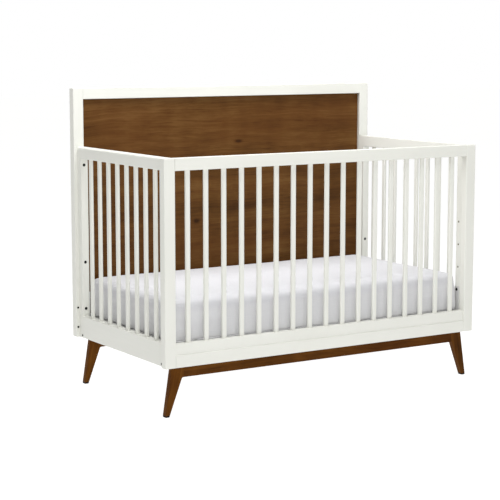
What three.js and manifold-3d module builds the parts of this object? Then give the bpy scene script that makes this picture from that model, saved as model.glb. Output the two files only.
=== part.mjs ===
// A convertible baby crib: a tall panelled headboard, a slatted front and two
// slatted sides in painted wood, standing on two splayed leg frames, with a
// height-adjustable steel mattress support and a mattress.
// Millimetres, +Z up, front towards -Y, origin on the floor under the middle
// of the object's box.
import * as THREE from 'three';
import { mergeVertices } from 'three/addons/utils/BufferGeometryUtils.js';
import Module from 'manifold-3d';

const wasm = await Module();
wasm.setup();
const { Manifold, Mesh: MMesh } = wasm;

// ---------------------------------------------------------------- dimensions
const LENGTH = 1422.4;            // overall, X
const DEPTH = 762;                // overall, Y
const HEIGHT = 1168.4;            // overall, Z, top of the headboard
const GAP = 0.3;                  // glue line or fit between touching pieces

const X_OUT = LENGTH / 2;         // outer faces of headboard and front panel
const Y_FRONT = -DEPTH / 2;       // front face of the front panel
const Y_BACK = DEPTH / 2;         // back face of the headboard
const Z_UNDER = 184;              // underside of the box on its legs
const Z_RAIL = 940;               // top of the front and side rails

const FRONT_T = 29;               // thickness of the front panel
const POST_W = 44.5;              // width of a front post
const TOP_RAIL_H = 45;            // height of the front and side top rails
const LOW_RAIL_H = 87;            // height of the bottom rails
const STEP_Z = 230;               // ledge on the front bottom rail
const LOW_BAND_IN = 1.5;          // lower band, behind the post's face
const HIGH_BAND_IN = 6;           // upper band, behind the post's face

const HEAD_T = 34;                // thickness of the headboard
const HEAD_POST_W = 43.6;
const HEAD_RAIL_H = 43.4;
const PANEL_T = 12;
const PANEL_IN = 18;              // panel face behind the headboard's face
const GROOVE = 8;                 // depth of the panel's groove

const SIDE_OUT = 697;             // outer face of a side panel
const SIDE_IN = 667;              // inner face of a side panel
const STILE_W = 30;               // width of a side stile, along Y
const SIDE_ROUND = 9;             // rounding of the side rail's outer top edge

const SLAT_W = 18;
const SLAT_T = 12;
const SLAT_PITCH_F = 75.8;
const SLATS_F = 17;
const SLAT_PITCH_S = 74.3;
const SLATS_S = 8;
const POCKET = 10;                // depth of a slat's mortise in a rail
const TENON = 20;                 // length of a rail's tenon in a post

const LEG_T = 25;                 // thickness of a leg frame, along Y
const Y_LEGS_F = -357;            // front face of the front leg frame
const Y_LEGS_R = 304;             // front face of the rear leg frame
const Z_TONGUE = 232;             // top of the leg frame behind the rail
const STRETCH_Z = 142;            // underside of the stretcher
const LEG_SEAM = 622;             // joint between leg and stretcher
const LEG_TOP_X = 669.5;          // outer edge of the leg at the box
const FOOT_OUT = 698;             // outer edge of the foot
const FOOT_IN = 681;              // inner edge of the foot
const GLIDE_H = 3;                // height of the glide's boss under the foot
const LEG_BOLT_Z = 194;           // bolts from the side stiles into the leg frames
const LEG_ROUND = 2.5;            // roundover along the leg frame's outline

const MAT_L = 1323;               // mattress
const MAT_W = 692;
const MAT_H = 152.4;
const Z_SUPPORT = 270;            // top of the mattress support at its lowest
const BAR = 12;                   // height of the support's perimeter bar
const HEIGHTS = [352, 444, 536, 628]; // support bolt holes, from the floor

const Y_IN_F = Y_FRONT + FRONT_T; // inner face of the front panel
const Y_IN_B = Y_BACK - HEAD_T;   // inner face of the headboard
const Y_MID = (Y_IN_F + Y_IN_B) / 2;
const Y_STILE_F = Y_IN_F + GAP + STILE_W / 2;
const Y_STILE_B = Y_IN_B - GAP - STILE_W / 2;
const Y_SLAT_F = Y_FRONT + 19;    // middle of the front slats
const X_SLAT = (SIDE_OUT + SIDE_IN) / 2;

// ------------------------------------------------------------------- colours
const paint = new THREE.MeshStandardMaterial({ color: 0xf1f1ec, roughness: 0.42, metalness: 0 });
const walnut = new THREE.MeshStandardMaterial({ color: 0x63442a, roughness: 0.45, metalness: 0 });
const steel = new THREE.MeshStandardMaterial({ color: 0x8d8f92, roughness: 0.4, metalness: 0.8 });
const sheet = new THREE.MeshStandardMaterial({ color: 0xf4f4f7, roughness: 0.9, metalness: 0 });

// ------------------------------------------------------------------- helpers
function solid(geometry) {
  const g = geometry.clone();
  g.deleteAttribute('normal');
  g.deleteAttribute('uv');
  const m = mergeVertices(g, 1e-4);
  const vertProperties = new Float32Array(m.attributes.position.array);
  const index = m.index ? m.index.array : Array.from({ length: vertProperties.length / 3 }, (_, i) => i);
  return new Manifold(new MMesh({ numProp: 3, vertProperties, triVerts: new Uint32Array(index) }));
}

function geometryOf(manifold) {
  const mesh = manifold.getMesh();
  const n = mesh.vertProperties.length / mesh.numProp;
  const position = new Float32Array(n * 3);
  for (let i = 0; i < n; i++) {
    for (let k = 0; k < 3; k++) position[3 * i + k] = mesh.vertProperties[mesh.numProp * i + k];
  }
  const g = new THREE.BufferGeometry();
  g.setAttribute('position', new THREE.BufferAttribute(position, 3));
  g.setIndex(new THREE.BufferAttribute(new Uint32Array(mesh.triVerts), 1));
  g.computeVertexNormals();
  return g;
}

function box(x0, x1, y0, y1, z0, z1) {
  const g = new THREE.BoxGeometry(x1 - x0, y1 - y0, z1 - z0);
  g.translate((x0 + x1) / 2, (y0 + y1) / 2, (z0 + z1) / 2);
  return g;
}

// A profile in (x, z), extruded from y0 to y1.
function alongY(points, y0, y1) {
  const s = new THREE.Shape(points.map(([x, z]) => new THREE.Vector2(x, z)));
  const g = new THREE.ExtrudeGeometry(s, { depth: y1 - y0, bevelEnabled: false });
  g.rotateX(Math.PI / 2);
  g.translate(0, y1, 0);
  return g;
}

// A profile in (y, z), extruded from x0 to x1.
function alongX(points, x0, x1) {
  const s = new THREE.Shape(points.map(([y, z]) => new THREE.Vector2(y, z)));
  const g = new THREE.ExtrudeGeometry(s, { depth: x1 - x0, bevelEnabled: false });
  g.applyMatrix4(new THREE.Matrix4().set(0, 0, 1, x0, 1, 0, 0, 0, 0, 1, 0, 0, 0, 0, 0, 1));
  return g;
}

// A drilled hole, as a solid to cut away.
function drill(axis, radius, a, b, u, v, sides = 12) {
  const g = new THREE.CylinderGeometry(radius, radius, Math.abs(b - a), sides);
  const mid = (a + b) / 2;
  if (axis === 'x') { g.rotateZ(Math.PI / 2); g.translate(mid, u, v); }
  if (axis === 'y') { g.translate(u, mid, v); }
  return solid(g);
}

const crib = new THREE.Group();
function add(name, shape, material) {
  const geometry = shape.isBufferGeometry ? shape : geometryOf(shape);
  const mesh = new THREE.Mesh(geometry, material);
  mesh.name = name;
  crib.add(mesh);
  return mesh;
}

// ------------------------------------------------------------- front panel
const xPostIn = X_OUT - POST_W;
const slatXs = Array.from({ length: SLATS_F }, (_, i) => (i - (SLATS_F - 1) / 2) * SLAT_PITCH_F);
const slatYs = Array.from({ length: SLATS_S }, (_, i) => Y_MID + (i - (SLATS_S - 1) / 2) * SLAT_PITCH_S);
const yTenonF = [Y_FRONT + 9, Y_FRONT + 21];          // tenons of the front rails
const BOLT_ZS = [301, 486, 870];                       // corner bolts, from the floor
const HEAD_R = 6.6;                                    // counterbore for a bolt head
const SHANK_R = 3.6;                                   // clearance for an M6 bolt

for (const side of [-1, 1]) {
  const a = side < 0 ? -X_OUT : xPostIn;
  const b = side < 0 ? -xPostIn : X_OUT;
  let post = solid(box(a, b, Y_FRONT, Y_IN_F, Z_UNDER, Z_RAIL));
  const m0 = side < 0 ? b - TENON - 1 : a - 1;
  const m1 = side < 0 ? b + 1 : a + TENON + 1;
  for (const [z0, z1] of [[Z_UNDER + 20, Z_UNDER + LOW_RAIL_H - 15], [Z_RAIL - TOP_RAIL_H + 8, Z_RAIL - 8]]) {
    post = post.subtract(solid(box(m0, m1, yTenonF[0] - GAP, yTenonF[1] + GAP, z0 - GAP, z1 + GAP)));
  }
  for (const z of BOLT_ZS) {
    post = post.subtract(drill('y', SHANK_R, Y_IN_F - 19, Y_IN_F + 1, side * X_SLAT, z, 10));
  }
  add(side < 0 ? 'front_left_post' : 'front_right_post', post, paint);
}

function frontRail(profile, zTenon, pocketUp) {
  const x1 = xPostIn - GAP;
  let rail = solid(alongX(profile, -x1, x1));
  rail = rail.add(solid(box(-x1 - TENON, x1 + TENON, yTenonF[0], yTenonF[1], zTenon[0], zTenon[1])));
  const zs = pocketUp
    ? [Z_UNDER + LOW_RAIL_H - POCKET - GAP, Z_UNDER + LOW_RAIL_H + 1]
    : [Z_RAIL - TOP_RAIL_H - 1, Z_RAIL - TOP_RAIL_H + POCKET + GAP];
  for (const x of slatXs) {
    rail = rail.subtract(solid(box(x - SLAT_W / 2 - GAP, x + SLAT_W / 2 + GAP,
      Y_SLAT_F - SLAT_T / 2 - GAP, Y_SLAT_F + SLAT_T / 2 + GAP, zs[0], zs[1])));
  }
  return rail;
}
const zLow1 = Z_UNDER + LOW_RAIL_H;
const zTop0 = Z_RAIL - TOP_RAIL_H;
add('front_bottom_rail', frontRail([
  [Y_FRONT + LOW_BAND_IN, Z_UNDER], [Y_IN_F, Z_UNDER], [Y_IN_F, zLow1],
  [Y_FRONT + HIGH_BAND_IN, zLow1], [Y_FRONT + HIGH_BAND_IN, STEP_Z], [Y_FRONT + LOW_BAND_IN, STEP_Z],
], [Z_UNDER + 20, zLow1 - 15], true), paint);
add('front_top_rail', frontRail([
  [Y_FRONT + 0.6, zTop0], [Y_IN_F, zTop0], [Y_IN_F, Z_RAIL], [Y_FRONT + 0.6, Z_RAIL],
], [zTop0 + 8, Z_RAIL - 8], false), paint);
slatXs.forEach((x, i) => {
  add(`front_slat_${String(i + 1).padStart(2, '0')}`,
    box(x - SLAT_W / 2, x + SLAT_W / 2, Y_SLAT_F - SLAT_T / 2, Y_SLAT_F + SLAT_T / 2, zLow1 - POCKET, zTop0 + POCKET), paint);
});

// -------------------------------------------------------------- side panels
function roundedTop(side, z0) {
  // profile in (x, z): inner and outer faces, with the outer top edge rounded
  const pts = [[SIDE_IN, z0], [SIDE_OUT, z0]];
  for (let k = 0; k <= 5; k++) {
    const t = (k / 5) * Math.PI / 2;
    pts.push([SIDE_OUT - SIDE_ROUND + SIDE_ROUND * Math.cos(t), Z_RAIL - SIDE_ROUND + SIDE_ROUND * Math.sin(t)]);
  }
  pts.push([SIDE_IN, Z_RAIL]);
  return side > 0 ? pts : pts.map(([x, z]) => [-x, z]).reverse();
}
const yStiles = { front: [Y_IN_F + GAP, Y_IN_F + GAP + STILE_W], rear: [Y_IN_B - GAP - STILE_W, Y_IN_B - GAP] };
const xTenon = [X_SLAT - 6, X_SLAT + 6];
const Y_LEG_BOLT_F = -327.5;
const Y_LEG_BOLT_R = 321.5;
for (const side of [-1, 1]) {
  const word = side < 0 ? 'left' : 'right';
  const sx = (a, b) => (side > 0 ? [a, b] : [-b, -a]);
  const zT = [[Z_UNDER + 20, zLow1 - 15], [zTop0 + 8, Z_RAIL - 8]];
  for (const end of ['front', 'rear']) {
    const [y0, y1] = yStiles[end];
    let stile = solid(alongY(roundedTop(side, Z_UNDER), y0, y1));
    // mortises for the rails' tenons
    for (const [z0, z1] of zT) {
      const [x0, x1] = sx(xTenon[0] - GAP, xTenon[1] + GAP);
      const ya = end === 'front' ? y1 - 13 : y0 - 1;
      const yb = end === 'front' ? y1 + 1 : y0 + 13;
      stile = stile.subtract(solid(box(x0, x1, ya, yb, z0 - GAP, z1 + GAP)));
    }
    // corner bolts: counterbored from inside the crib, out into the post
    for (const z of BOLT_ZS) {
      if (z > zT[0][0] - 8 && z < zT[0][1] + 8) continue;
      if (end === 'front') {
        stile = stile.subtract(drill('y', HEAD_R, y1 - 7, y1 + 1, side * X_SLAT, z));
        stile = stile.subtract(drill('y', SHANK_R, y0 - 1, y1 - 6, side * X_SLAT, z, 10));
      } else {
        stile = stile.subtract(drill('y', HEAD_R, y0 - 1, y0 + 7, side * X_SLAT, z));
        stile = stile.subtract(drill('y', SHANK_R, y0 + 6, y1 + 1, side * X_SLAT, z, 10));
      }
    }
    // mattress height holes, in the inner face, threaded inserts behind
    const yc = end === 'front' ? Y_STILE_F : Y_STILE_B;
    for (const z of HEIGHTS) {
      const [x0, x1] = sx(SIDE_IN - 1, SIDE_IN + 17);
      stile = stile.subtract(drill('x', 4.2, x0, x1, yc, z, 10));
    }
    // a bolt through the foot of the stile into the end of the leg frame
    const [lx0, lx1] = sx(SIDE_IN - 1, SIDE_OUT + 1);
    stile = stile.subtract(drill('x', 2.8, lx0, lx1, end === 'front' ? Y_LEG_BOLT_F : Y_LEG_BOLT_R, LEG_BOLT_Z, 10));
    add(`${word}_side_${end}_stile`, stile, paint);
  }
  const yr0 = yStiles.front[1] + GAP;
  const yr1 = yStiles.rear[0] - GAP;
  function sideRail(base, zt, zPocket) {
    let rail = base;
    const [x0, x1] = sx(xTenon[0], xTenon[1]);
    rail = rail.add(solid(box(x0, x1, yr0 - 12, yr1 + 12, zt[0], zt[1])));
    for (const y of slatYs) {
      const [a, b] = sx(X_SLAT - SLAT_T / 2 - GAP, X_SLAT + SLAT_T / 2 + GAP);
      rail = rail.subtract(solid(box(a, b, y - SLAT_W / 2 - GAP, y + SLAT_W / 2 + GAP, zPocket[0], zPocket[1])));
    }
    return rail;
  }
  const [bx0, bx1] = sx(SIDE_IN, SIDE_OUT);
  add(`${word}_side_bottom_rail`, sideRail(solid(box(bx0, bx1, yr0, yr1, Z_UNDER, zLow1)),
    zT[0], [zLow1 - POCKET - GAP, zLow1 + 1]), paint);
  add(`${word}_side_top_rail`, sideRail(solid(alongY(roundedTop(side, zTop0), yr0, yr1)),
    zT[1], [zTop0 - 1, zTop0 + POCKET + GAP]), paint);
  slatYs.forEach((y, i) => {
    const [a, b] = sx(X_SLAT - SLAT_T / 2, X_SLAT + SLAT_T / 2);
    add(`${word}_side_slat_${i + 1}`, box(a, b, y - SLAT_W / 2, y + SLAT_W / 2, zLow1 - POCKET, zTop0 + POCKET), paint);
  });
}

// ---------------------------------------------------------------- headboard
const xHeadIn = X_OUT - HEAD_POST_W;
const yPanel = [Y_IN_B + PANEL_IN, Y_IN_B + PANEL_IN + PANEL_T];
const zHeadTop = HEIGHT - HEAD_RAIL_H;
for (const side of [-1, 1]) {
  const a = side < 0 ? -X_OUT : xHeadIn;
  const b = side < 0 ? -xHeadIn : X_OUT;
  const inner = side * xHeadIn;
  let post = solid(box(a, b, Y_IN_B, Y_BACK, Z_UNDER, HEIGHT));
  const slot = (depth) => (side < 0 ? [inner - depth, inner + 1] : [inner - 1, inner + depth]);
  // groove for the panel, and mortises for the two rails' tenons in line with it
  let [x0, x1] = slot(GROOVE + GAP);
  post = post.subtract(solid(box(x0, x1, yPanel[0] - GAP, yPanel[1] + GAP, zLow1 - GROOVE - GAP, zHeadTop + GROOVE + GAP)));
  [x0, x1] = slot(TENON + GAP);
  post = post.subtract(solid(box(x0, x1, yPanel[0] - GAP, yPanel[1] + GAP, Z_UNDER + 15 - GAP, zLow1 - 15 + GAP)));
  post = post.subtract(solid(box(x0, x1, yPanel[0] - GAP, yPanel[1] + GAP, zHeadTop + 10 - GAP, HEIGHT - 8 + GAP)));
  for (const z of BOLT_ZS) {
    post = post.subtract(drill('y', SHANK_R, Y_IN_B - 1, Y_IN_B + 25, side * X_SLAT, z, 10));
  }
  // two inserts for full-size bed rails, outboard of the side panel
  for (const z of [224, 302]) {
    post = post.subtract(drill('y', 3.4, Y_IN_B - 1, Y_IN_B + 22, side * 703.2, z, 10));
  }
  add(side < 0 ? 'headboard_left_post' : 'headboard_right_post', post, paint);
}
function headRail(z0, z1, zt, grooveAtTop) {
  const x1 = xHeadIn - GAP;
  let rail = solid(box(-x1, x1, Y_IN_B, Y_BACK, z0, z1));
  rail = rail.add(solid(box(-x1 - TENON, x1 + TENON, yPanel[0], yPanel[1], zt[0], zt[1])));
  const zg = grooveAtTop ? [z1 - GROOVE - GAP, z1 + 1] : [z0 - 1, z0 + GROOVE + GAP];
  return rail.subtract(solid(box(-x1 - 1, x1 + 1, yPanel[0] - GAP, yPanel[1] + GAP, zg[0], zg[1])));
}
add('headboard_top_rail', headRail(zHeadTop, HEIGHT, [zHeadTop + 10, HEIGHT - 8], false), paint);
add('headboard_bottom_rail', headRail(Z_UNDER, zLow1, [Z_UNDER + 15, zLow1 - 15], true), paint);
add('headboard_panel', box(-xHeadIn - GROOVE, xHeadIn + GROOVE, yPanel[0], yPanel[1], zLow1 - GROOVE, zHeadTop + GROOVE), walnut);

// --------------------------------------------------------------- leg frames
// One outline for two legs and their stretcher, rounded over, then cut at the
// two joints. The part above the box's underside stands behind the bottom rail.
function arcCorner(points, [px, pz], [cx, cz], [nx, nz], r, n) {
  // replaces corner c, between neighbours p and n, by an arc of radius r
  const v1 = new THREE.Vector2(px - cx, pz - cz).normalize();
  const v2 = new THREE.Vector2(nx - cx, nz - cz).normalize();
  const half = Math.acos(v1.dot(v2)) / 2;
  const d = r / Math.tan(half);
  const bis = v1.clone().add(v2).normalize().multiplyScalar(r / Math.sin(half));
  const centre = new THREE.Vector2(cx, cz).add(bis);
  const s = new THREE.Vector2(cx, cz).add(v1.clone().multiplyScalar(d)).sub(centre);
  const e = new THREE.Vector2(cx, cz).add(v2.clone().multiplyScalar(d)).sub(centre);
  let a0 = s.angle();
  let a1 = e.angle();
  if (a1 - a0 > Math.PI) a1 -= 2 * Math.PI;
  if (a0 - a1 > Math.PI) a1 += 2 * Math.PI;
  for (let k = 0; k <= n; k++) {
    const t = a0 + (a1 - a0) * k / n;
    points.push([centre.x + r * Math.cos(t), centre.y + r * Math.sin(t)]);
  }
}
function legOutline() {
  const right = [
    [LEG_SEAM + 6, STRETCH_Z], [FOOT_IN, GLIDE_H], [FOOT_OUT, GLIDE_H],
    [LEG_TOP_X, Z_UNDER - GAP], [SIDE_IN - GAP, Z_UNDER - GAP], [SIDE_IN - GAP, Z_TONGUE],
  ];
  const all = [...right, ...right.map(([x, z]) => [-x, z]).reverse()];
  const radii = [7, 3, 3, 0, 0, 0, 0, 0, 0, 3, 3, 7];
  const pts = [];
  all.forEach((c, i) => {
    const p = all[(i + all.length - 1) % all.length];
    const n = all[(i + 1) % all.length];
    if (radii[i] > 0) arcCorner(pts, p, c, n, radii[i], 3);
    else pts.push(c);
  });
  return pts;
}
function legFrame(yFace) {
  const s = new THREE.Shape(legOutline().map(([x, z]) => new THREE.Vector2(x, z)));
  const g = new THREE.ExtrudeGeometry(s, {
    depth: LEG_T - 2 * LEG_ROUND, bevelEnabled: true, bevelThickness: LEG_ROUND,
    bevelSize: LEG_ROUND, bevelOffset: -LEG_ROUND, bevelSegments: 3,
  });
  g.rotateX(Math.PI / 2);
  g.translate(0, yFace + LEG_T - LEG_ROUND, 0);
  return solid(g);
}
for (const [word, yFace] of [['front', Y_LEGS_F], ['rear', Y_LEGS_R]]) {
  let frame = legFrame(yFace);
  if (word === 'front') {
    // rebated so that the bottom rail stands on it and the rest is behind it
    frame = frame.subtract(solid(box(-720, 720, yFace - 5, Y_IN_F + GAP, Z_UNDER - GAP, 300)));
  }
  const yc = yFace + LEG_T / 2;
  const zt = [STRETCH_Z + 14, Z_TONGUE - 14];
  let stretcher = frame.intersect(solid(box(-LEG_SEAM + GAP / 2, LEG_SEAM - GAP / 2, yFace - 5, yFace + LEG_T + 5, 100, 300)));
  stretcher = stretcher.add(solid(box(-LEG_SEAM - 22, LEG_SEAM + 22, yc - 5, yc + 5, zt[0], zt[1])));
  for (const side of [-1, 1]) {
    const [x0, x1] = side > 0 ? [LEG_SEAM + GAP / 2, 720] : [-720, -LEG_SEAM - GAP / 2];
    let leg = frame.intersect(solid(box(x0, x1, yFace - 5, yFace + LEG_T + 5, -5, 300)));
    const [t0, t1] = side > 0 ? [LEG_SEAM - 1, LEG_SEAM + 22 + GAP] : [-LEG_SEAM - 22 - GAP, -LEG_SEAM + 1];
    leg = leg.subtract(solid(box(t0, t1, yc - 5 - GAP, yc + 5 + GAP, zt[0] - GAP, zt[1] + GAP)));
    if (word === 'front') {
      // corner block behind the leg, which takes the bolt from the side stile
      const [c0, c1] = side > 0 ? [LEG_SEAM + 26, SIDE_IN - GAP] : [-SIDE_IN + GAP, -LEG_SEAM - 26];
      leg = leg.add(solid(box(c0, c1, yFace + LEG_T - 6, Y_LEG_BOLT_F + 9, Z_UNDER + 2, Z_TONGUE)));
    }
    const boss = new THREE.CylinderGeometry(6.5, 5.8, GLIDE_H + 4, 16);
    boss.rotateX(Math.PI / 2);
    const [b0, b1] = side > 0 ? [SIDE_IN - 40, SIDE_IN + 1] : [-SIDE_IN - 1, -SIDE_IN + 40];
    leg = leg.subtract(drill('x', 2.6, b0, b1, word === 'front' ? Y_LEG_BOLT_F : Y_LEG_BOLT_R, LEG_BOLT_Z, 10));
    boss.translate(side * (FOOT_IN + FOOT_OUT) / 2, yc, (GLIDE_H + 4) / 2);
    leg = leg.add(solid(boss));
    add(`${word}_${side < 0 ? 'left' : 'right'}_leg`, leg, walnut);
  }
  add(`${word}_stretcher`, stretcher, walnut);
}

// --------------------------------------------------------- mattress support
// A welded steel grid: an upright perimeter bar with crossing wires inside it.
const supX = MAT_L / 2 - 4;
const supY = MAT_W / 2 - 4;
const z1 = Z_SUPPORT;
const z0 = z1 - BAR;
let grid = solid(box(-supX, supX, Y_MID - supY, Y_MID + supY, z0, z1))
  .subtract(solid(box(-supX + BAR, supX - BAR, Y_MID - supY + BAR, Y_MID + supY - BAR, z0 - 1, z1 + 1)));
const WIRES_X = 5;
const WIRES_Y = 11;
for (let i = 1; i <= WIRES_X; i++) {
  const y = Y_MID - supY + (2 * supY * i) / (WIRES_X + 1);
  grid = grid.add(solid(box(-supX + BAR / 2, supX - BAR / 2, y - 2.5, y + 2.5, z0 + 2.5, z0 + 7.5)));
}
for (let i = 1; i <= WIRES_Y; i++) {
  const x = -supX + (2 * supX * i) / (WIRES_Y + 1);
  grid = grid.add(solid(box(x - 2.5, x + 2.5, Y_MID - supY + BAR / 2, Y_MID + supY - BAR / 2, z0 + 5.5, z0 + 10.5)));
}
add('mattress_support_grid', grid, steel);

// A flat steel hanger under each end of the grid, turned up at both corners to
// the bolt holes.
for (const side of [-1, 1]) {
  const sx = (a, b) => (side > 0 ? [a, b] : [-b, -a]);
  const yA = Y_STILE_F - 12;
  const yB = Y_STILE_B + 12;
  const [px0, px1] = sx(SIDE_IN - 4.2, SIDE_IN - 1.2);        // upright leaf
  const [fx0, fx1] = sx(SIDE_IN - 30, SIDE_IN - 1.2);         // foot leaf under the grid
  let hanger = solid(box(px0, px1, yA, yB, z0 - 3.3, z0 + 10));
  hanger = hanger.add(solid(box(fx0, fx1, yA + 30, yB - 30, z0 - 3.3, z0 - GAP)));
  for (const yc of [Y_STILE_F, Y_STILE_B]) {
    hanger = hanger.add(solid(box(px0, px1, yc - 12, yc + 12, z0 - 3.3, HEIGHTS[0] + 14)));
  }
  for (const yc of [Y_STILE_F, Y_STILE_B]) {
    hanger = hanger.subtract(drill('x', 3.6, px0 - 1, px1 + 1, yc, HEIGHTS[0], 10));
  }
  add(side < 0 ? 'left_support_hanger' : 'right_support_hanger', hanger, steel);
}

// ----------------------------------------------------------------- mattress
function roundedRect(lx, ly, r, n) {
  const pts = [];
  for (const [sx, sy, a] of [[1, 1, 0], [-1, 1, 1], [-1, -1, 2], [1, -1, 3]]) {
    for (let k = 0; k <= n; k++) {
      const t = (a + k / n) * Math.PI / 2;
      pts.push([sx * (lx / 2 - r) + r * Math.cos(t), sy * (ly / 2 - r) + r * Math.sin(t)]);
    }
  }
  return pts;
}
{
  const s = new THREE.Shape(roundedRect(MAT_L, MAT_W, 26, 5).map(([x, y]) => new THREE.Vector2(x, y)));
  const r = 24;
  const g = new THREE.ExtrudeGeometry(s, {
    depth: MAT_H - 2 * r, bevelEnabled: true, bevelThickness: r, bevelSize: r, bevelOffset: -r, bevelSegments: 3,
  });
  g.translate(0, Y_MID, Z_SUPPORT + GAP + r);
  add('mattress', solid(g), sheet);
}

export default crib;
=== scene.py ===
# The looks of a baby crib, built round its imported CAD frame.
# Metres, +Z up, front towards -Y. Everything is placed from the frame's own boxes.
import math
import bpy
import bmesh
from mathutils import Matrix, Vector, noise


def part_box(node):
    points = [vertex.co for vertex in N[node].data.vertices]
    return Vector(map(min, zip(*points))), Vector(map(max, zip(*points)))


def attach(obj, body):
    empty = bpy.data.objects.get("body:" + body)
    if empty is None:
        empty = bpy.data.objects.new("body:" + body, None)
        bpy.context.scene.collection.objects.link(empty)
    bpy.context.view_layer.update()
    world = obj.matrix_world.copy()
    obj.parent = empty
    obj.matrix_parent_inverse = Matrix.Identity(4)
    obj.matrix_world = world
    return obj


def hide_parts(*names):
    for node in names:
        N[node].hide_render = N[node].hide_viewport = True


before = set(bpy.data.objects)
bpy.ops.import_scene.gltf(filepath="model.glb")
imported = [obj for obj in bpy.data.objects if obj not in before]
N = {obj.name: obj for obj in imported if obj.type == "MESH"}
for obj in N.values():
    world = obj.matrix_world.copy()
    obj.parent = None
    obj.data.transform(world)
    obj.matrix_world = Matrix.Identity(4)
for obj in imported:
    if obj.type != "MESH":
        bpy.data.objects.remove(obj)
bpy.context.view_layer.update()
scene = bpy.context.scene
mm = 0.001


# ------------------------------------------------------------------ camera
def make_camera():
    cam_data = bpy.data.cameras.new("camera")
    cam = bpy.data.objects.new("camera", cam_data)
    scene.collection.objects.link(cam)
    cam_data.sensor_width = 36.0
    cam_data.lens = 1540.5 / 500.0 * 36.0
    cam_data.clip_start, cam_data.clip_end = 0.1, 100.0
    yaw, pitch = math.radians(32.049), math.radians(7.729)
    cam.location = (-3.3239, -5.1247, 1.3508)
    forward = Vector((math.sin(yaw) * math.cos(pitch), math.cos(yaw) * math.cos(pitch), -math.sin(pitch)))
    cam.rotation_mode = "QUATERNION"
    cam.rotation_quaternion = forward.to_track_quat("-Z", "Y")
    scene.camera = cam


make_camera()


# --------------------------------------------------------------- node tools
class Tree:
    """A small helper to write node trees in a few lines."""

    def __init__(self, name):
        self.mat = bpy.data.materials.new(name)
        self.mat.use_nodes = True
        self.t = self.mat.node_tree
        self.t.nodes.clear()
        self.out = self.t.nodes.new("ShaderNodeOutputMaterial")
        self.bsdf = self.t.nodes.new("ShaderNodeBsdfPrincipled")
        self.t.links.new(self.bsdf.outputs[0], self.out.inputs[0])
        self.x = -300

    def new(self, kind, **props):
        n = self.t.nodes.new(kind)
        self.x -= 40
        n.location = (self.x, 0)
        for k, v in props.items():
            setattr(n, k, v)
        return n

    def put(self, socket, value):
        if isinstance(value, bpy.types.NodeSocket):
            self.t.links.new(value, socket)
        elif value is not None:
            socket.default_value = value

    def coords(self):
        return self.new("ShaderNodeTexCoord").outputs["Object"]

    def mapping(self, vector, scale=(1, 1, 1), location=(0, 0, 0), rotation=(0, 0, 0)):
        n = self.new("ShaderNodeMapping")
        self.put(n.inputs["Vector"], vector)
        n.inputs["Scale"].default_value = scale
        n.inputs["Location"].default_value = location
        n.inputs["Rotation"].default_value = rotation
        return n.outputs[0]

    def noise(self, vector, scale=1.0, detail=2.0, rough=0.5, distortion=0.0):
        n = self.new("ShaderNodeTexNoise")
        self.put(n.inputs["Vector"], vector)
        n.inputs["Scale"].default_value = scale
        n.inputs["Detail"].default_value = detail
        n.inputs["Roughness"].default_value = rough
        n.inputs["Distortion"].default_value = distortion
        return n.outputs["Fac"]

    def math(self, op, a, b=None, c=None, clamp=False):
        n = self.new("ShaderNodeMath", operation=op, use_clamp=clamp)
        self.put(n.inputs[0], a)
        if b is not None:
            self.put(n.inputs[1], b)
        if c is not None:
            self.put(n.inputs[2], c)
        return n.outputs[0]

    def ramp(self, fac, stops, mode="LINEAR"):
        n = self.new("ShaderNodeValToRGB")
        n.color_ramp.interpolation = mode
        el = n.color_ramp.elements
        while len(el) > 1:
            el.remove(el[-1])
        el[0].position, el[0].color = stops[0][0], tuple(stops[0][1]) + (1,)
        for p, c in stops[1:]:
            e = el.new(p)
            e.color = tuple(c) + (1,)
        self.put(n.inputs[0], fac)
        return n.outputs[0]

    def range(self, v, a, b, c, d, smooth=False):
        n = self.new("ShaderNodeMapRange")
        n.interpolation_type = "SMOOTHSTEP" if smooth else "LINEAR"
        self.put(n.inputs["Value"], v)
        for k, val in zip(("From Min", "From Max", "To Min", "To Max"), (a, b, c, d)):
            n.inputs[k].default_value = val
        return n.outputs[0]

    def mix(self, fac, a, b, blend="MIX"):
        n = self.new("ShaderNodeMix", data_type="RGBA", blend_type=blend)
        self.put(n.inputs[0], fac)
        for s, v in ((n.inputs[6], a), (n.inputs[7], b)):
            if isinstance(v, tuple) and len(v) == 3:
                v = v + (1,)
            self.put(s, v)
        return n.outputs[2]

    def xyz(self, vector):
        n = self.new("ShaderNodeSeparateXYZ")
        self.put(n.inputs[0], vector)
        return n.outputs

    def combine(self, x, y, z):
        n = self.new("ShaderNodeCombineXYZ")
        for s, v in zip(n.inputs, (x, y, z)):
            self.put(s, v)
        return n.outputs[0]

    def bump(self, height, strength, distance, normal=None):
        n = self.new("ShaderNodeBump")
        n.inputs["Strength"].default_value = strength
        n.inputs["Distance"].default_value = distance
        self.put(n.inputs["Height"], height)
        if normal is not None:
            self.put(n.inputs["Normal"], normal)
        return n.outputs[0]

    def finish(self, color=None, rough=None, normal=None, **sockets):
        self.put(self.bsdf.inputs["Base Color"], color if not (isinstance(color, tuple) and len(color) == 3) else color + (1,))
        self.put(self.bsdf.inputs["Roughness"], rough)
        if normal is not None:
            self.put(self.bsdf.inputs["Normal"], normal)
        for k, v in sockets.items():
            self.bsdf.inputs[k.replace("_", " ")].default_value = v
        return self.mat


def lin(r, g, b):
    """sRGB 0..255 to linear."""
    f = lambda c: (c / 255 / 12.92) if c / 255 <= 0.04045 else ((c / 255 + 0.055) / 1.055) ** 2.4
    return (f(r), f(g), f(b))


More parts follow.
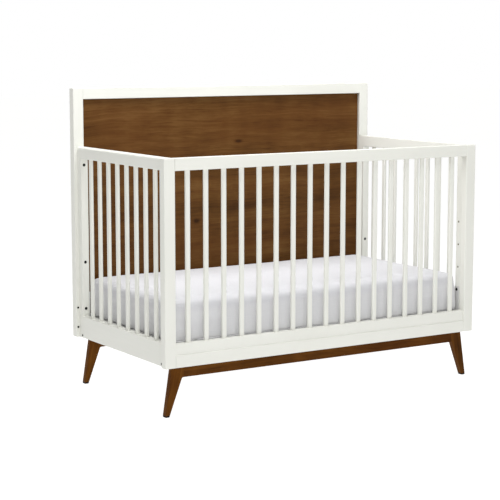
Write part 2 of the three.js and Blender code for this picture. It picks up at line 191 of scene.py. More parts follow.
# ---------------------------------------------------------------- materials
def paint(name, along, seed=0.0):
    """Sprayed satin paint on wood: faint orange peel, grain just showing along the piece, small tone drift."""
    t = Tree(name)
    co = t.coords()
    stretch = {"x": (2.5, 60, 60), "y": (60, 2.5, 60), "z": (60, 60, 2.5)}[along]
    grain = t.noise(t.mapping(co, stretch, (seed, seed * 1.7, seed * 0.3)), 1.0, 4.0, 0.6)
    fine = t.noise(t.mapping(co, tuple(s * 6 for s in stretch)), 1.0, 3.0, 0.6)
    peel = t.noise(co, 420.0, 2.0, 0.5)
    tone = t.noise(co, 3.0, 2.0, 0.5)
    height = t.math("ADD", t.math("MULTIPLY", grain, 0.5), t.math("ADD", t.math("MULTIPLY", peel, 0.35), t.math("MULTIPLY", fine, 0.25)))
    shade = t.math("ADD", t.math("MULTIPLY", tone, 0.6), t.math("MULTIPLY", grain, 0.4))
    color = t.ramp(shade, [(0.3, (0.755, 0.757, 0.706)), (0.5, (0.778, 0.780, 0.729)), (0.7, (0.798, 0.800, 0.752))])
    rough = t.range(t.math("ADD", t.math("MULTIPLY", peel, 0.5), t.math("MULTIPLY", tone, 0.5)), 0.3, 0.7, 0.32, 0.42)
    return t.finish(color, rough, t.bump(height, 0.10, 0.0006), Specular_IOR_Level=0.45)


def walnut(name, along="x", rotation=(0, 0, 0), knots=(), tones=None, seed=0.0, gloss=0.46, shine=0.10):
    """Stained walnut: broad tone bands, growth lines, fine streaks, pores and knots, all running along one axis."""
    t = Tree(name)
    co = t.coords()
    if rotation != (0, 0, 0):
        co = t.mapping(co, rotation=rotation)
    x, y, z = t.xyz(co)[0:3]
    if along == "x":
        u, v, w = x, z, y
    elif along == "z":
        u, v, w = z, x, y
    else:
        u, v, w = y, z, x
    # the grain bends round each knot and darkens in its eye
    eye = None
    for ku, kv, a, b, strength in knots:
        du = t.math("DIVIDE", t.math("SUBTRACT", u, ku), a)
        dv = t.math("DIVIDE", t.math("SUBTRACT", v, kv), b)
        r2 = t.math("ADD", t.math("MULTIPLY", du, du), t.math("MULTIPLY", dv, dv))
        fall = t.math("EXPONENT", t.math("MULTIPLY", r2, -0.35))
        v = t.math("SUBTRACT", v, t.math("MULTIPLY", t.math("MULTIPLY", t.math("SUBTRACT", v, kv), fall), 0.62))
        core = t.math("MULTIPLY", t.math("EXPONENT", t.math("MULTIPLY", r2, -4.5)), strength)
        eye = core if eye is None else t.math("ADD", eye, core)
    wander = t.noise(t.combine(t.math("MULTIPLY", u, 1.1), t.math("MULTIPLY", v, 2.2), t.math("ADD", w, seed)), 1.0, 3.0, 0.55)
    v2 = t.math("ADD", v, t.math("MULTIPLY", t.math("SUBTRACT", wander, 0.5), 0.10))
    band = t.noise(t.combine(t.math("MULTIPLY", u, 0.55), t.math("MULTIPLY", v2, 11.0), t.math("ADD", t.math("MULTIPLY", w, 11.0), seed)), 1.0, 3.0, 0.5)
    rings = t.math("SINE", t.math("ADD", t.math("MULTIPLY", v2, 210.0), t.math("MULTIPLY", band, 26.0)))
    streak = t.noise(t.combine(t.math("MULTIPLY", u, 2.6), t.math("MULTIPLY", v2, 150.0), t.math("ADD", t.math("MULTIPLY", w, 150.0), seed)), 1.0, 4.0, 0.6)
    fine = t.noise(t.combine(t.math("MULTIPLY", u, 9.0), t.math("MULTIPLY", v2, 620.0), t.math("MULTIPLY", w, 620.0)), 1.0, 3.0, 0.6)
    pores = t.noise(t.combine(t.math("MULTIPLY", u, 55.0), t.math("MULTIPLY", v2, 1300.0), t.math("MULTIPLY", w, 1300.0)), 1.0, 1.0, 0.5)
    pore = t.range(pores, 0.60, 0.72, 0.0, 1.0)
    flame = t.noise(t.combine(t.math("MULTIPLY", u, 9.0), t.math("MULTIPLY", v, 2.0), t.math("ADD", w, seed + 3)), 1.0, 2.0, 0.5)
    blotch = t.noise(t.combine(t.math("MULTIPLY", u, 5.0), t.math("MULTIPLY", v2, 22.0), t.math("ADD", w, seed + 6)), 1.0, 4.0, 0.65)
    tone = t.math("MULTIPLY", band, 0.30)
    tone = t.math("ADD", tone, t.math("MULTIPLY", blotch, 0.26))
    tone = t.math("ADD", tone, t.math("MULTIPLY", streak, 0.17))
    tone = t.math("ADD", tone, t.math("MULTIPLY", fine, 0.10))
    tone = t.math("ADD", tone, t.math("MULTIPLY", flame, 0.17))
    tone = t.math("ADD", tone, t.math("MULTIPLY", rings, 0.010))
    dash = t.noise(t.combine(t.math("MULTIPLY", u, 13.0), t.math("MULTIPLY", v2, 330.0), t.math("ADD", t.math("MULTIPLY", w, 330.0), seed)), 1.0, 3.0, 0.6)
    tone = t.math("SUBTRACT", tone, t.math("MULTIPLY", t.range(dash, 0.52, 0.68, 0.0, 1.0, True), 0.055))
    if eye is not None:
        tone = t.math("SUBTRACT", tone, t.math("MULTIPLY", eye, 0.30))
    tone = t.math("SUBTRACT", tone, t.math("MULTIPLY", pore, 0.03))
    d, m, l = tones
    color = t.ramp(tone, [(0.30, tuple(c * 0.30 for c in d)), (0.42, d), (0.50, m), (0.58, l), (0.72, tuple(c * 1.2 for c in l))])
    hue = t.noise(t.combine(t.math("MULTIPLY", u, 1.6), t.math("MULTIPLY", v2, 5.0), t.math("ADD", w, seed + 9)), 1.0, 2.0, 0.5)
    color = t.mix(t.range(hue, 0.35, 0.65, 0.0, 0.30), color, (m[0] * 1.12, m[1] * 0.86, m[2] * 0.80))
    height = t.math("SUBTRACT", t.math("ADD", t.math("MULTIPLY", streak, 0.4), t.math("MULTIPLY", fine, 0.5)), t.math("MULTIPLY", pore, 0.6))
    rough = t.range(streak, 0.3, 0.7, gloss + 0.05, gloss - 0.04)
    return t.finish(color, rough, t.bump(height, 0.12, 0.0005), Specular_IOR_Level=shine)


def cotton(name):
    """A white cotton sheet: plain weave, slubs, soft wrinkles, and a side wall painted lighter than the top (painted
    light).
    """
    t = Tree(name)
    co = t.coords()
    soft = t.noise(t.mapping(co, (5, 9, 9)), 1.0, 4.0, 0.55, 0.6)
    slub_x = t.noise(t.mapping(co, (30, 900, 900)), 1.0, 2.0, 0.5)
    slub_y = t.noise(t.mapping(co, (900, 30, 30)), 1.0, 2.0, 0.5)
    x, y, z = t.xyz(co)[0:3]
    k = 2 * math.pi / 0.0011
    wx = t.math("SINE", t.math("MULTIPLY", x, k))
    wy = t.math("SINE", t.math("MULTIPLY", t.math("ADD", y, z), k))
    weave = t.math("MULTIPLY", wx, wy)
    height = t.math("ADD", t.math("MULTIPLY", soft, 6.0), t.math("ADD", t.math("MULTIPLY", weave, 0.12), t.math("ADD", t.math("MULTIPLY", slub_x, 0.35), t.math("MULTIPLY", slub_y, 0.35))))
    tint = t.math("ADD", t.math("MULTIPLY", slub_x, 0.5), t.math("MULTIPLY", slub_y, 0.5))
    color = t.ramp(tint, [(0.35, (0.580, 0.580, 0.608)), (0.65, (0.630, 0.630, 0.658))])
    # painted light: below the rounded top edge, the side wall between top and bottom is painted 6% lighter and a touch
    # warmer than the top, which sets the side's brightness against the top's
    nz = t.math("ABSOLUTE", t.xyz(t.new("ShaderNodeTexCoord").outputs["Normal"])[2])
    painted_side_light_mask = t.math("MULTIPLY", t.range(nz, 0.45, 0.85, 1.0, 0.0, True), t.range(z, 0.366, 0.394, 1.0, 0.0, True))
    color = t.mix(painted_side_light_mask, color, t.mix(1.0, color, (1.06, 1.06, 1.04), "MULTIPLY"))
    return t.finish(color, 0.9, t.bump(height, 0.25, 0.0008), Sheen_Weight=0.15, Sheen_Roughness=0.5, Specular_IOR_Level=0.2)


def powder(name, tone):
    t = Tree(name)
    co = t.coords()
    grit = t.noise(co, 1500.0, 2.0, 0.6)
    patch = t.noise(co, 25.0, 3.0, 0.5)
    color = t.ramp(t.math("ADD", t.math("MULTIPLY", grit, 0.4), t.math("MULTIPLY", patch, 0.6)),
                   [(0.3, tuple(c * 0.9 for c in tone)), (0.7, tuple(c * 1.08 for c in tone))])
    return t.finish(color, t.range(grit, 0.3, 0.7, 0.42, 0.58), t.bump(grit, 0.25, 0.0002), Metallic=0.0)


def black_oxide(name, tone=(0.012, 0.012, 0.013), metal=0.85):
    t = Tree(name)
    co = t.coords()
    turn = t.noise(t.mapping(co, (900, 900, 900)), 1.0, 3.0, 0.6)
    color = t.ramp(turn, [(0.3, tone), (0.7, tuple(c * 2.2 for c in tone))])
    return t.finish(color, t.range(turn, 0.3, 0.7, 0.3, 0.5), t.bump(turn, 0.15, 0.0001), Metallic=metal)


def plastic(name, tone):
    t = Tree(name)
    co = t.coords()
    grain = t.noise(co, 1800.0, 2.0, 0.5)
    color = t.ramp(grain, [(0.3, tuple(c * 0.8 for c in tone)), (0.7, tuple(c * 1.3 for c in tone))])
    return t.finish(color, t.range(grain, 0.3, 0.7, 0.45, 0.6), t.bump(grain, 0.3, 0.0001), Specular_IOR_Level=0.12)


PAINT = {a: paint("white_paint_" + a, a, s) for a, s in (("x", 0.0), ("y", 3.1), ("z", 7.7))}
PANEL_TONES = ((0.072, 0.0290, 0.0066), (0.110, 0.0475, 0.0112), (0.158, 0.0760, 0.0220))
LEG_TONES = ((0.066, 0.0218, 0.0018), (0.110, 0.0405, 0.0040), (0.168, 0.0680, 0.0090))
# the stretchers' walnut is a darker copy of the legs' walnut: painted shade for the shade the rails above cast on the
# stretchers
STRETCH_SHADED_TONES = ((0.052, 0.0165, 0.0014), (0.088, 0.0300, 0.0030), (0.130, 0.0480, 0.0065))
KNOTS = ((0.056, 0.936, 0.034, 0.014, 1.0), (-0.148, 0.612, 0.030, 0.016, 1.0), (0.42, 0.535, 0.024, 0.011, 0.7), (-0.47, 0.40, 0.02, 0.01, 0.6))
PANEL = walnut("walnut_panel", "x", knots=KNOTS, tones=PANEL_TONES, seed=2.3)
STRETCH_SHADED = walnut("walnut_stretcher_painted_shade", "x", tones=STRETCH_SHADED_TONES, seed=11.0, shine=0.05)
LEG_L = walnut("walnut_leg_left", "z", rotation=(0, -0.255, 0), tones=LEG_TONES, seed=5.0, shine=0.05)
LEG_R = walnut("walnut_leg_right", "z", rotation=(0, 0.255, 0), tones=LEG_TONES, seed=8.0, shine=0.05)
COTTON = cotton("cotton_sheet")
STEEL = powder("light_grey_powder_coat", (0.62, 0.62, 0.61))
BOLT = black_oxide("black_oxide_steel")
BRASS = black_oxide("zinc_insert", (0.10, 0.085, 0.05), 0.9)
GLIDE = plastic("black_glide_plastic", (0.004, 0.004, 0.004))


# --------------------------------------------------------------- mesh tools
def to_object(bm, name, material, body, angle=38.0, weighted=True):
    me = bpy.data.meshes.new(name)
    bmesh.ops.recalc_face_normals(bm, faces=bm.faces)
    bm.to_mesh(me)
    bm.free()
    for p in me.polygons:
        p.use_smooth = True
    me.set_sharp_from_angle(angle=math.radians(angle))
    me.materials.append(material)
    ob = bpy.data.objects.new(name, me)
    scene.collection.objects.link(ob)
    if weighted:
        w = ob.modifiers.new("normals", "WEIGHTED_NORMAL")
        w.keep_sharp = True
        w.weight = 80
    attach(ob, body)
    return ob


def welded(node):
    bm = bmesh.new()
    bm.from_mesh(N[node].data)
    bmesh.ops.remove_doubles(bm, verts=bm.verts, dist=2e-5)
    bmesh.ops.dissolve_limit(bm, angle_limit=math.radians(0.6), verts=bm.verts, edges=bm.edges)
    return bm


def soften(node, lo, hi, width, ends=None, segments=4, material=None, body="crib_frame", ledge=None):
    """Rounds the edges of a wooden piece. lo and hi are the corners of its main block. An edge on a face named in ends
    (such as "x+") meets a neighbour and stays square."""
    bm = welded(node)
    ends = ends or {}
    # a glued and painted joint is closed: the shoulder meets its neighbour
    for k, ax in enumerate("xyz"):
        for s, lim, to in (("-", lo[k], -1), ("+", hi[k], 1)):
            if ends.get(ax + s) == "joint" and ax != "z":
                for v in bm.verts:
                    if abs(v.co[k] - lim) < 6e-5:
                        v.co[k] += to * 0.00028
    lo = [lo[k] - (0.00028 if ends.get("xyz"[k] + "-") == "joint" and k != 2 else 0) for k in range(3)]
    hi = [hi[k] + (0.00028 if ends.get("xyz"[k] + "+") == "joint" and k != 2 else 0) for k in range(3)]
    big, tiny = [], []
    tol = 6e-5
    for e in bm.edges:
        if not e.is_manifold or e.calc_face_angle(0.0) < math.radians(40):
            continue
        a, b = e.verts[0].co, e.verts[1].co
        on = []
        for k, ax in enumerate("xyz"):
            for s, lim in (("-", lo[k]), ("+", hi[k])):
                if abs(a[k] - lim) < tol and abs(b[k] - lim) < tol:
                    on.append(ax + s)
        if len(on) < 2:
            continue
        if (a - b).length < 0.004:
            continue
        if any(ends.get(f) == "joint" for f in on):
            tiny.append(e)
        else:
            big.append(e)
    if ledge is not None:
        # the ledge's upper edge is rounded too
        shelf = [e for e in bm.edges if e.is_manifold and e.calc_face_angle(0.0) > math.radians(40)
                 and all(abs(v.co.y - lo[1]) < tol and abs(v.co.z - ledge[0]) < tol for v in e.verts)]
        bmesh.ops.bevel(bm, geom=shelf, offset=ledge[1], offset_type="OFFSET", segments=3, profile=0.4,
                        affect="EDGES", clamp_overlap=True)
        big = [e for e in big if e.is_valid]
    if big:
        bmesh.ops.bevel(bm, geom=big, offset=width, offset_type="OFFSET", segments=segments, profile=0.5,
                        affect="EDGES", clamp_overlap=True)
    ob = to_object(bm, node + "_wood", material, body)
    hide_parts(node)
    return ob


def lathe(rings, n, place, bm=None):
    """Closed loft of rings of n points: each ring is (height, radius) or (height, flat-to-flat/2, "hex")."""
    bm = bm or bmesh.new()
    loops = []
    for ring in rings:
        h, r = ring[0], ring[1]
        loop = []
        for i in range(n):
            a = 2 * math.pi * i / n
            rr = r
            if len(ring) > 2:
                rr = r / math.cos((a % (math.pi / 3)) - math.pi / 6)
            loop.append(bm.verts.new(place @ Vector((rr * math.cos(a), rr * math.sin(a), h))))
        loops.append(loop)
    for p, q in zip(loops, loops[1:]):
        for i in range(n):
            j = (i + 1) % n
            bm.faces.new((p[i], p[j], q[j], q[i]))
    bm.faces.new(list(reversed(loops[0])))
    bm.faces.new(loops[-1])
    return bm


def pointing(origin, direction):
    return Matrix.Translation(Vector(origin)) @ Vector(direction).to_track_quat("Z", "Y").to_matrix().to_4x4()


def block(bm, lo, hi, width=0.0, segments=2):
    """Adds a box with rounded edges to bm."""
    made = bmesh.new()
    bmesh.ops.create_cube(made, size=1.0)
    for v in made.verts:
        v.co = Vector([(lo[k] + hi[k]) / 2 + v.co[k] * (hi[k] - lo[k]) for k in range(3)])
    if width:
        bmesh.ops.bevel(made, geom=list(made.edges), offset=width, segments=segments, profile=0.5, affect="EDGES")
    me = bpy.data.meshes.new("tmp")
    made.to_mesh(me)
    made.free()
    bm.from_mesh(me)
    bpy.data.meshes.remove(me)


# ------------------------------------------------------------- wooden parts
def bx(node):
    lo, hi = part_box(node)
    return list(lo), list(hi)


POST = bx("front_left_post")
for side in ("left", "right"):
    node = f"front_{side}_post"
    lo, hi = bx(node)
    soften(node, lo, hi, 0.0024, material=PAINT["z"])

# the rails' main blocks are their boxes without the tenons
x_in = -POST[1][0] - 0.3 * mm
for node, z_hi in (("front_bottom_rail", None), ("front_top_rail", None)):
    lo, hi = bx(node)
    lo[0], hi[0] = x_in, -x_in
    soften(node, lo, hi, 0.0022, {"x-": "joint", "x+": "joint"}, material=PAINT["x"],
           ledge=(0.230, 0.0036) if node == "front_bottom_rail" else None)

for i in range(1, 18):
    node = f"front_slat_{i:02d}"
    lo, hi = bx(node)
    soften(node, lo, hi, 0.0032, {"z-": "joint", "z+": "joint"}, segments=5, material=PAINT["z"])

for side in ("left", "right"):
    y0 = bx(f"{side}_side_front_stile")[1][1] + 0.3 * mm
    y1 = bx(f"{side}_side_rear_stile")[0][1] - 0.3 * mm
    for end in ("front", "rear"):
        node = f"{side}_side_{end}_stile"
        lo, hi = bx(node)
        # the face against the post or the headboard stays square
        soften(node, lo, hi, 0.0018, {"y-" if end == "front" else "y+": "joint"}, material=PAINT["z"])
    for which in ("bottom", "top"):
        node = f"{side}_side_{which}_rail"
        lo, hi = bx(node)
        lo[1], hi[1] = y0, y1
        soften(node, lo, hi, 0.0022, {"y-": "joint", "y+": "joint"}, material=PAINT["y"])
    for i in range(1, 9):
        node = f"{side}_side_slat_{i}"
        lo, hi = bx(node)
        soften(node, lo, hi, 0.0032, {"z-": "joint", "z+": "joint"}, segments=5, material=PAINT["z"])

for side in ("left", "right"):
    node = f"headboard_{side}_post"
    lo, hi = bx(node)
    soften(node, lo, hi, 0.0024, material=PAINT["z"])
hx = bx("headboard_left_post")[1][0] + 0.3 * mm
for which in ("top", "bottom"):
    node = f"headboard_{which}_rail"
    lo, hi = bx(node)
    lo[0], hi[0] = hx, -hx
    soften(node, lo, hi, 0.0022, {"x-": "joint", "x+": "joint"}, material=PAINT["x"])

# the panel, the legs and the stretchers keep their CAD shape, welded and smoothed
for node, material, slot in (
    ("headboard_panel", PANEL, "walnut_panel"),
    ("front_left_leg", LEG_L, "walnut_legs"), ("rear_left_leg", LEG_L, "walnut_legs"),
    ("front_right_leg", LEG_R, "walnut_legs"), ("rear_right_leg", LEG_R, "walnut_legs"),
    ("front_stretcher", STRETCH_SHADED, "walnut_legs"), ("rear_stretcher", STRETCH_SHADED, "walnut_legs"),
):
    bm = welded(node)
    ob = to_object(bm, node + "_wood", material, "crib_frame", angle=35.0)
    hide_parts(node)

# ------------------------------------------------------------------- metal
glo, ghi = bx("mattress_support_grid")
bm = bmesh.new()
bar = 12 * mm
for y in (glo[1], ghi[1] - bar):
    block(bm, (glo[0], y, glo[2]), (ghi[0], y + bar, ghi[2]), 0.0012)
for x in (glo[0], ghi[0] - bar):
    block(bm, (x, glo[1] + bar, glo[2]), (x + bar, ghi[1] - bar, ghi[2]), 0.0012)
wires_y = [glo[1] + (ghi[1] - glo[1]) * i / 6 for i in range(1, 6)]
wires_x = [glo[0] + (ghi[0] - glo[0]) * i / 12 for i in range(1, 12)]
for y in wires_y:
    lathe([(0, 0.0024), (ghi[0] - glo[0] - bar, 0.0024)], 12, pointing((glo[0] + bar / 2, y, glo[2] + 0.005), (1, 0, 0)), bm)
for x in wires_x:
    lathe([(0, 0.0024), (ghi[1] - glo[1] - bar, 0.0024)], 12, pointing((x, glo[1] + bar / 2, glo[2] + 0.0085), (0, 1, 0)), bm)
deck = to_object(bm, "support_deck", STEEL, "mattress_support", angle=40.0, weighted=False)
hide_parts("mattress_support_grid")
for side in ("left", "right"):
    node = f"{side}_support_hanger"
    ob = N[node]
    ob.data.materials.clear()
    ob.data.materials.append(STEEL)
    w = ob.modifiers.new("weld", "WELD")
    w.merge_threshold = 2e-5
    b = ob.modifiers.new("edge", "BEVEL")
    b.width, b.segments, b.limit_method, b.angle_limit = 0.0006, 2, "ANGLE", math.radians(45)


def socket_bolt(name, origin, direction, head_r, head_h, shank_r, shank_l, body, key):
    """A cap screw: origin is the seat under its head, direction points from the seat to the head's top."""
    m = pointing(origin, direction)
    bm = lathe([
        (-shank_l, shank_r * 0.7), (-shank_l + 0.001, shank_r), (0.0, shank_r), (0.0, head_r - 0.0003), (0.0003, head_r),
        (head_h - 0.0006, head_r), (head_h, head_r - 0.0007), (head_h, key + 0.0007), (head_h - 0.0005, key + 0.0001, "hex"),
        (head_h * 0.35, key, "hex"), (head_h * 0.2, key * 0.2),
    ], 36, m)
    return to_object(bm, name, BOLT, body, angle=30.0)


def insert(name, origin, direction, r_out, r_in, depth, material, body="crib_frame"):
    """A flanged threaded insert, seen as a ring in its hole. direction points out of the hole."""
    m = pointing(origin, direction)
    bm = lathe([(-depth, r_out), (-0.0009, r_out), (-0.0006, r_out + 0.0001), (-0.0006, r_in + 0.0004), (-0.0010, r_in), (-depth * 0.8, r_in * 0.96), (-depth * 0.8, 0.0002)], 30, m)
    return to_object(bm, name, material, body, angle=30.0)


BOLT_ZS = (0.301, 0.486, 0.870)
HEIGHTS = (0.352, 0.444, 0.536, 0.628)
for side, sx in (("left", -1), ("right", 1)):
    flo, fhi = bx(f"{side}_side_front_stile")
    rlo, rhi = bx(f"{side}_side_rear_stile")
    xc = sx * 0.682
    for z in BOLT_ZS:
        tag = f"{int(round(z * 1000))}"
        socket_bolt(f"{side}_front_corner_bolt_{tag}", (xc, fhi[1] - 0.007 + 0.0003, z), (0, 1, 0), 0.0058, 0.0055, 0.003, 0.040, "crib_frame", 0.0025)
        socket_bolt(f"{side}_rear_corner_bolt_{tag}", (xc, rlo[1] + 0.007 - 0.0003, z), (0, -1, 0), 0.0058, 0.0055, 0.003, 0.044, "crib_frame", 0.0025)
    for end, lo, hi, yb in (("front", flo, fhi, -0.3275), ("rear", rlo, rhi, 0.3215)):
        yc = (lo[1] + hi[1]) / 2
        for z in HEIGHTS:
            insert(f"{side}_{end}_height_insert_{int(round(z * 1000))}", (sx * 0.667, yc, z), (-sx, 0, 0), 0.0040, 0.0026, 0.012, BRASS)
        hlo, hhi = bx(f"{side}_support_hanger")
        inner = hlo[0] if sx > 0 else hhi[0]
        leaf = 0.667 - 4.2 * mm                      # inner face of the hanger's upright leaf
        socket_bolt(f"{side}_{end}_support_bolt", (sx * (leaf - 0.0001), yc, HEIGHTS[0]), (-sx, 0, 0), 0.0062, 0.0012, 0.0024, 0.012, "mattress_support", 0.0022)
        socket_bolt(f"{side}_{end}_leg_bolt", (sx * 0.6971, yb, 0.194), (sx, 0, 0), 0.0042, 0.0012, 0.0024, 0.050, "crib_frame", 0.0019)
# a black plastic cap over each bed-rail hole in the headboard posts is painted shade: it stands for the dark inside of
# the hole
for side, sx in (("left", -1), ("right", 1)):
    for z in (0.224, 0.302):
        bm = lathe([(-0.006, 0.0024), (-0.005, 0.0030), (0.0, 0.0030), (0.0, 0.0041), (0.0003, 0.0043), (0.0007, 0.0039), (0.0008, 0.0004)], 30,
                   pointing((sx * 0.7032, 0.347, z), (0, -1, 0)))
        to_object(bm, f"{side}_bed_rail_plug_{int(z * 1000)}", GLIDE, "crib_frame", angle=40.0)
for side, sx in (("left", -1), ("right", 1)):
    for end, yc in (("front", -0.3445), ("rear", 0.3165)):
        bm = bmesh.new()
        loops = []
        for z, shrink in ((0.0001, 0.0026), (0.0001, 0.0014), (0.0005, 0.0006), (0.0014, 0.0), (0.0060, 0.0), (0.0066, 0.0004), (0.0066, 0.0050)):
            loop = []
            for i in range(40):
                a = 2 * math.pi * i / 40
                ca, sa = math.cos(a), math.sin(a)
                ex = math.copysign(abs(ca) ** 0.45, ca) * (0.0092 - shrink)
                ey = math.copysign(abs(sa) ** 0.45, sa) * (0.0130 - shrink)
                loop.append(bm.verts.new((sx * (0.6895 - 0.158 * z) + ex, yc + ey, z)))
            loops.append(loop)
        for p, q in zip(loops, loops[1:]):
            for i in range(40):
                bm.faces.new((p[i], p[(i + 1) % 40], q[(i + 1) % 40], q[i]))
        bm.faces.new(list(reversed(loops[0])))
        bm.faces.new(loops[-1])
        to_object(bm, f"{end}_{side}_glide", GLIDE, "crib_frame", angle=40.0)


# ---------------------------------------------------------------- mattress
def rounded_block(lo, hi, r_top, r_low, step):
    """A quad mesh of a box with a soft round top edge, a tight bottom edge and tighter upright corners."""
    bm = bmesh.new()
    c = [(lo[k] + hi[k]) / 2 for k in range(3)]
    h = [(hi[k] - lo[k]) / 2 for k in range(3)]
    ns = [max(2, int(round(2 * h[k] / step))) for k in range(3)]
    seen = {}

    def vert(p):
        key = tuple(round(q, 6) for q in p)
        if key not in seen:
            up = max(0.0, min(1.0, p[2] / h[2] * 0.9 + 0.55))
            r = r_low + (r_top - r_low) * up * up * (3 - 2 * up)
            core = [max(-(h[k] - r), min(h[k] - r, p[k])) for k in range(3)]
            d = [p[k] - core[k] for k in range(3)]
            big = max(abs(q) for q in d)
            q = list(p)
            if big > 1e-9:
                flat = max(abs(d[0]), abs(d[1]))
                corner = min(abs(d[0]), abs(d[1])) / flat if flat > 1e-9 else 0.0
                k = 2.0 + 3.0 * corner * (1 - 0.6 * abs(d[2]) / big)
                norm = sum(abs(w) ** k for w in d) ** (1 / k)
                q = [core[i] + d[i] * big / norm for i in range(3)]
            seen[key] = bm.verts.new((c[0] + q[0], c[1] + q[1], c[2] + q[2]))
        return seen[key]

    def face(k, s):
        a, b = [i for i in range(3) if i != k]
        for i in range(ns[a]):
            for j in range(ns[b]):
                quad = []
                for di, dj in ((0, 0), (1, 0), (1, 1), (0, 1)):
                    p = [0, 0, 0]
                    p[k] = s * h[k]
                    p[a] = -h[a] + 2 * h[a] * (i + di) / ns[a]
                    p[b] = -h[b] + 2 * h[b] * (j + dj) / ns[b]
                    quad.append(vert(p))
                bm.faces.new(quad)

    for k in range(3):
        for s in (-1, 1):
            face(k, s)
    bmesh.ops.recalc_face_normals(bm, faces=bm.faces)
    return bm


def make_mattress():
    lo, hi = bx("mattress")
    inset = 0.0030
    start_lo = (lo[0] + inset, lo[1] + inset - 0.0006, lo[2])
    start_hi = (hi[0] - inset, hi[1] - inset + 0.0006, hi[2] - 0.002)
    bm = rounded_block(start_lo, start_hi, 0.031, 0.0015, 0.0115)
    me = bpy.data.meshes.new("mattress_pad")
    bmesh.ops.recalc_face_normals(bm, faces=bm.faces)
    bm.to_mesh(me)
    bm.free()
    ob = bpy.data.objects.new("mattress_pad", me)
    scene.collection.objects.link(ob)
    rest = [v.co.copy() for v in me.vertices]
    cloth = ob.modifiers.new("cloth", "CLOTH")
    s = cloth.settings
    s.quality = 6
    s.mass = 0.3
    s.tension_stiffness = 40
    s.compression_stiffness = 40
    s.shear_stiffness = 12
    s.bending_stiffness = 1.2
    s.use_pressure = True
    s.uniform_pressure_force = 2.2
    s.effector_weights.gravity = 0.0
    cloth.collision_settings.use_collision = False
    scene.frame_start, scene.frame_end = 1, 20
    for f in range(1, 17):
        scene.frame_set(f)
    dg = bpy.context.evaluated_depsgraph_get()
    ev = ob.evaluated_get(dg)
    moved = [v.co.copy() for v in ev.to_mesh().vertices]
    ev.to_mesh_clear()
    ob.modifiers.remove(cloth)
    scene.frame_set(1)
    ctr = Vector([(lo[k] + hi[k]) / 2 for k in range(3)])
    hx_, hy_ = (hi[0] - lo[0]) / 2, (hi[1] - lo[1]) / 2
    for v, a, b in zip(me.vertices, rest, moved):
        d = b - a
        cap = 0.0055
        if d.length > cap:
            d = d * (cap / d.length)
        p = a + d
        u, w = (a.x - ctr.x) / hx_, (a.y - ctr.y) / hy_
        top = max(0.0, min(1.0, (a.z - (hi[2] - 0.03)) / 0.02))
        # a firm core's crown, and the sheet's slack: long shallow folds, tighter towards the corners
        p.z += top * 0.0038 * (1 - u * u) * (1 - w * w)
        p.z += top * 0.0011 * noise.noise(Vector((a.x * 5.0, a.y * 11.0, 3.0)))
        p.z += top * 0.0006 * noise.noise(Vector((a.x * 23.0 + a.y * 9.0, a.y * 19.0 - a.x * 7.0, 9.0)))
        # side walls: gathers above the hem, and a tuck at each corner
        wall = max(0.0, min(1.0, 1 - abs(a.z - ctr.z) / 0.075))
        low = max(0.0, min(1.0, (lo[2] + 0.07 - a.z) / 0.06))
        near = min(1.0, max(0.0, (abs(u) - 0.86) / 0.14)) * min(1.0, max(0.0, (abs(w) - 0.78) / 0.22))
        along = a.x if abs(w) > abs(u) * 0.97 else a.y
        ripple = 0.0009 * low * math.sin(along * 2 * math.pi / 0.031 + 2.0 * noise.noise(Vector((a.x * 8, a.y * 8, 0))))
        tuck = 0.0022 * near * math.sin(a.z * 2 * math.pi / 0.055 + a.x * 60 + a.y * 60)
        out = Vector((a.x - ctr.x, a.y - ctr.y, 0))
        if abs(w) > abs(u) * 0.97:
            out = Vector((0, 1 if a.y > ctr.y else -1, 0))
        else:
            out = Vector((1 if a.x > ctr.x else -1, 0, 0))
        if a.z < hi[2] - 0.03:
            p += out * ((ripple + tuck) * min(1.0, wall * 3) + 0.0030 * low * (1 - near))
        # it lies flat on the support and stays inside the crib
        p.z = max(p.z, lo[2] + 0.0002)
        p.x = max(lo[0] + 0.0004, min(hi[0] - 0.0004, p.x))
        p.y = max(lo[1] + 0.0004, min(hi[1] - 0.0004, p.y))
        v.co = p
    # the sheet runs smoothly over the top edge
    bm = bmesh.new()
    bm.from_mesh(me)
    edge = [v for v in bm.verts if v.co.z > hi[2] - 0.055 and
            (abs(v.co.x - ctr.x) > hx_ - 0.07 or abs(v.co.y - ctr.y) > hy_ - 0.07)]
    for _ in range(5):
        bmesh.ops.smooth_vert(bm, verts=edge, factor=0.5, use_axis_x=True, use_axis_y=True, use_axis_z=True)
    # the sheet is drawn tight over the bottom edge
    crease = bm.edges.layers.float.get("crease_edge") or bm.edges.layers.float.new("crease_edge")
    for e in bm.edges:
        if all(v.co.z < lo[2] + 0.003 for v in e.verts) and e.calc_face_angle(0.0) > 0.5:
            e[crease] = 0.85
    bm.to_mesh(me)
    bm.free()
    for q in me.polygons:
        q.use_smooth = True
    me.materials.append(COTTON)
    sub = ob.modifiers.new("surface", "SUBSURF")
    sub.levels = sub.render_levels = 1
    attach(ob, "mattress")
    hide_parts("mattress")
    return ob


make_mattress()


# ------------------------------------------------------------ stage, light
TOP_W, FRONT_W, LEFT_W, WORLD, FLOOR_GLOW = 92.0, 84.0, 12.0, 0.26, 0.92


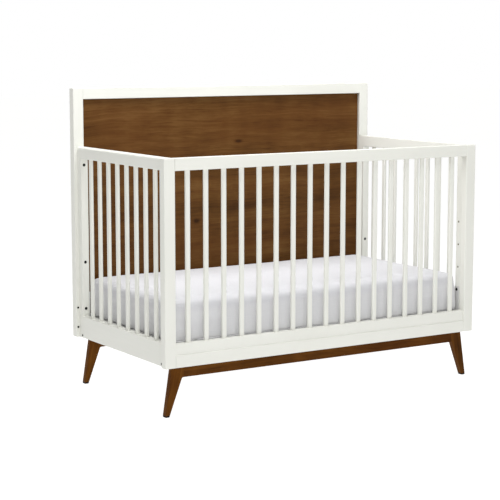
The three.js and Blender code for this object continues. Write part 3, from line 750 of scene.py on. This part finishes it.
def make_stage():
    me = bpy.data.meshes.new("floor")
    s = 30.0
    me.from_pydata([(-s, -s, -0.0004), (s, -s, -0.0004), (s, s, -0.0004), (-s, s, -0.0004)], [], [(0, 1, 2, 3)])
    floor = bpy.data.objects.new("floor", me)
    scene.collection.objects.link(floor)
    t = Tree("pale_floor")
    co = t.coords()
    tone = t.noise(co, 0.6, 2.0, 0.5)
    pale = t.ramp(tone, [(0.3, (0.30, 0.30, 0.30)), (0.7, (0.32, 0.32, 0.32))])
    t.finish(pale, 0.9, None, Specular_IOR_Level=0.0, Emission_Color=(1.0, 1.0, 1.0, 1.0), Emission_Strength=FLOOR_GLOW)
    me.materials.append(t.mat)

    world = bpy.data.worlds.new("studio")
    scene.world = world
    world.use_nodes = True
    wt = world.node_tree
    wt.nodes.clear()
    out = wt.nodes.new("ShaderNodeOutputWorld")
    mixn = wt.nodes.new("ShaderNodeMixShader")
    seen = wt.nodes.new("ShaderNodeBackground")
    lit = wt.nodes.new("ShaderNodeBackground")
    path = wt.nodes.new("ShaderNodeLightPath")
    seen.inputs[0].default_value = (1, 1, 1, 1)
    seen.inputs[1].default_value = 1.0
    lit.inputs[0].default_value = (1.0, 1.0, 0.94, 1)
    lit.inputs[1].default_value = WORLD
    wt.links.new(path.outputs["Is Camera Ray"], mixn.inputs[0])
    wt.links.new(lit.outputs[0], mixn.inputs[1])
    wt.links.new(seen.outputs[0], mixn.inputs[2])
    wt.links.new(mixn.outputs[0], out.inputs[0])

    def softbox(name, place, aim, size_x, size_y, watts):
        data = bpy.data.lights.new(name, "AREA")
        data.shape, data.size, data.size_y, data.energy = "RECTANGLE", size_x, size_y, watts
        ob = bpy.data.objects.new(name, data)
        scene.collection.objects.link(ob)
        ob.location = place
        ob.rotation_mode = "QUATERNION"
        ob.rotation_quaternion = (Vector(aim) - Vector(place)).to_track_quat("-Z", "Y")
        ob.visible_camera = False

    softbox("overhead", (-0.25, -0.14, 2.9), (0.0, -0.1, 0.4), 2.5, 1.5, TOP_W)
    softbox("front_fill", (-3.0, -5.6, 2.2), (0.0, 0.0, 0.5), 1.6, 1.6, FRONT_W)
    softbox("left_key", (-4.8, -4.5, 2.7), (0.0, -0.3, 0.5), 1.2, 1.2, LEFT_W)
    scene.view_settings.view_transform = "Standard"
    scene.view_settings.look = "None"
    scene.view_settings.exposure = 0.0
    scene.view_settings.gamma = 1.0


make_stage()
